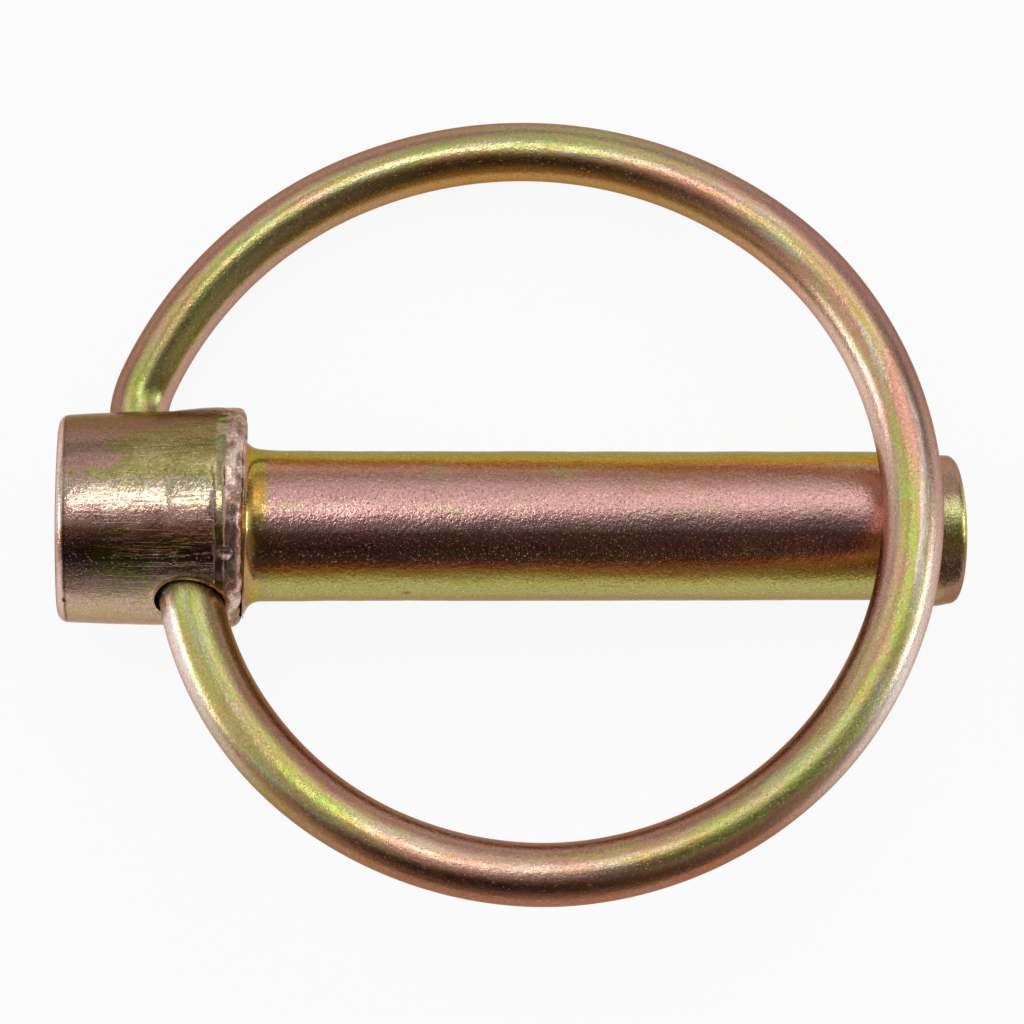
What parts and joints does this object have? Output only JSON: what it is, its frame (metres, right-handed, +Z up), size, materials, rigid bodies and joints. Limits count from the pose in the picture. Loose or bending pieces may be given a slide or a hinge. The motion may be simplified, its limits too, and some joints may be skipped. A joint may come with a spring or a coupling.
{
  "type": "lynch pin",
  "caption": "Lynch pin: a short round steel pin with an upset head and a spring-wire ring that swings over and snaps across the shank near its tip.",
  "frame": {"origin": "on the ground, under the middle of the pin's length and midway between the ring's two sides", "axes": "+X towards the pin's tip, +Z up; the pin lies at rest, 3 degrees nose down on the rim of its collar and the edge of its tip"},
  "size_m": [0.0577, 0.0486, 0.0201],
  "materials": {
    "pin_plating": "yellow zinc plated steel, satin, with drawn scratches along the pin",
    "ring_plating": "yellow zinc plated spring wire, drawn smooth"
  },
  "bodies": {
    "pin": {"headed_pin": "pin_plating"},
    "ring": {"snap_ring": "ring_plating"}
  },
  "joints": [
    {"name": "ring_swing", "type": "hinge", "parent": "pin", "child": "ring", "pos_m": [-0.02207, -0.00142, 0.00733], "axis": [0.3067, -0.747, 0.5898], "range_deg": [0, 338]}
  ]
}
